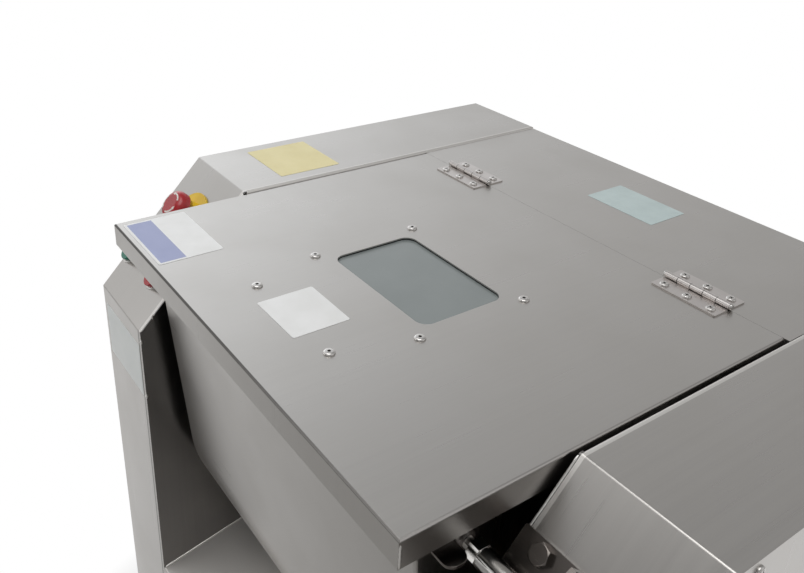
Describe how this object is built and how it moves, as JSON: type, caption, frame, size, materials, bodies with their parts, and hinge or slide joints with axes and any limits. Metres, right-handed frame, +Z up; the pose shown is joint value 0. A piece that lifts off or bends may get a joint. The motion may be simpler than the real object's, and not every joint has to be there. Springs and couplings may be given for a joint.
{
  "type": "horizontal dough mixer",
  "caption": "Free-standing dough mixer with a tilting U-shaped trough and horizontal agitator between two pedestals, under a hinged flat lid with a viewing window.",
  "frame": {"origin": "on the floor under the middle of the machine's outline", "axes": "+X to the machine's right as seen from the front, +Y to the back, +Z up"},
  "size_m": [0.842, 0.66, 0.9055],
  "materials": {
    "stainless_sheet": "satin brushed sheet",
    "stainless_fittings": "bright turned and pressed steel",
    "stainless_mixing": "ground and polished",
    "painted_frame": "grey primer",
    "cast_housing": "painted casting",
    "bearing_steel": "ground",
    "motor_casting": "painted die casting",
    "bronze": "turned bearing bronze",
    "rubber": "matt black",
    "window": "clear toughened pane",
    "black_plastic": "moulded black",
    "grey_plastic": "moulded light grey",
    "yellow_plastic": "moulded yellow",
    "red_plastic": "moulded red",
    "green_plastic": "moulded green"
  },
  "bodies": {
    "frame": {"base_frame": "painted_frame", "floor_plate": "painted_frame", "foot_pads": "rubber", "foot_studs": "stainless_fittings", "left_wrap": "stainless_sheet", "right_wrap": "stainless_sheet", "left_side_plate": "stainless_sheet", "right_side_plate": "stainless_sheet", "left_cover": "stainless_sheet", "right_cover": "stainless_sheet", "cover_screws": "stainless_fittings", "base_cover": "stainless_sheet", "rear_bulkhead": "stainless_sheet", "rear_deck": "stainless_sheet", "rear_panel": "stainless_sheet", "lid_rests": "stainless_sheet", "deck_hinge_leaves": "stainless_fittings", "hinge_pins": "stainless_fittings", "deck_leaf_screws": "stainless_fittings", "trunnion_bushes": "bronze", "flange_bearings": "cast_housing", "drive_bolts": "bearing_steel", "drive_belts": "rubber", "gearbox": "motor_casting", "motor": "motor_casting", "start_bezel": "stainless_fittings", "stop_bezel": "stainless_fittings", "estop_collar": "yellow_plastic", "contact_blocks": "black_plastic", "lock_bracket": "stainless_fittings", "lock_bolts": "stainless_fittings", "control_box": "grey_plastic", "cable_gland": "black_plastic"},
    "lid": {"lid_shell": "stainless_sheet", "window_gasket": "rubber", "window_pane": "window", "window_clamp": "stainless_sheet", "lid_stiffener": "stainless_sheet", "lid_screws": "stainless_fittings", "lid_nuts": "stainless_fittings", "lid_hinge_leaves": "stainless_fittings", "lid_leaf_screws": "stainless_fittings"},
    "trough": {"trough_shell": "stainless_sheet", "left_end_plate": "stainless_sheet", "right_end_plate": "stainless_sheet", "trunnion_sleeves": "stainless_mixing", "shaft_seals": "rubber", "lock_lug": "stainless_fittings"},
    "agitator": {"agitator_shaft": "stainless_mixing", "agitator_blades": "stainless_mixing", "bearing_inserts": "bearing_steel", "driven_pulley": "cast_housing"},
    "drive": {"output_shaft": "bearing_steel", "drive_pulley": "cast_housing"},
    "start_push": {"start_button": "green_plastic"},
    "stop_push": {"stop_button": "red_plastic"},
    "estop_push": {"estop_stem": "black_plastic"},
    "estop_twist": {"estop_cap": "red_plastic"},
    "lock": {"lock_bar": "stainless_fittings", "lock_knob": "black_plastic"}
  },
  "joints": [
    {"name": "lid_hinge", "type": "hinge", "parent": "frame", "child": "lid", "pos_m": [0, 0.1147, 0.902], "axis": [-1, 0, 0], "range_deg": [0, 100]},
    {"name": "trough_tilt", "type": "hinge", "parent": "frame", "child": "trough", "pos_m": [0, -0.092, 0.611], "axis": [1, 0, 0], "range_deg": [0, 90]},
    {"name": "agitator_spin", "type": "hinge", "parent": "frame", "child": "agitator", "pos_m": [0, -0.092, 0.611], "axis": [1, 0, 0], "continuous": true},
    {"name": "drive_spin", "type": "hinge", "parent": "frame", "child": "drive", "pos_m": [0, 0.03, 0.229], "axis": [1, 0, 0], "continuous": true},
    {"name": "start_press", "type": "slide", "parent": "frame", "child": "start_push", "axis": [0, 0.7279, -0.6857], "range_m": [0, 0.003], "stiffness_N_per_m": 400},
    {"name": "stop_press", "type": "slide", "parent": "frame", "child": "stop_push", "axis": [0, 0.7279, -0.6857], "range_m": [0, 0.003], "stiffness_N_per_m": 400},
    {"name": "estop_press", "type": "slide", "parent": "frame", "child": "estop_push", "axis": [0, 0.7279, -0.6857], "range_m": [0, 0.005]},
    {"name": "estop_release", "type": "hinge", "parent": "estop_push", "child": "estop_twist", "pos_m": [-0.351, -0.21221, 0.85201], "axis": [0, 0.7279, -0.6857], "range_deg": [0, 45], "stiffness_Nm_per_rad": 0.05},
    {"name": "lock_slide", "type": "slide", "parent": "frame", "child": "lock", "axis": [-1, 0, 0], "range_m": [0, 0.008]}
  ],
  "couplings": [
    {"joint": "drive_spin", "follows": "agitator_spin", "ratio": 1.92}
  ]
}
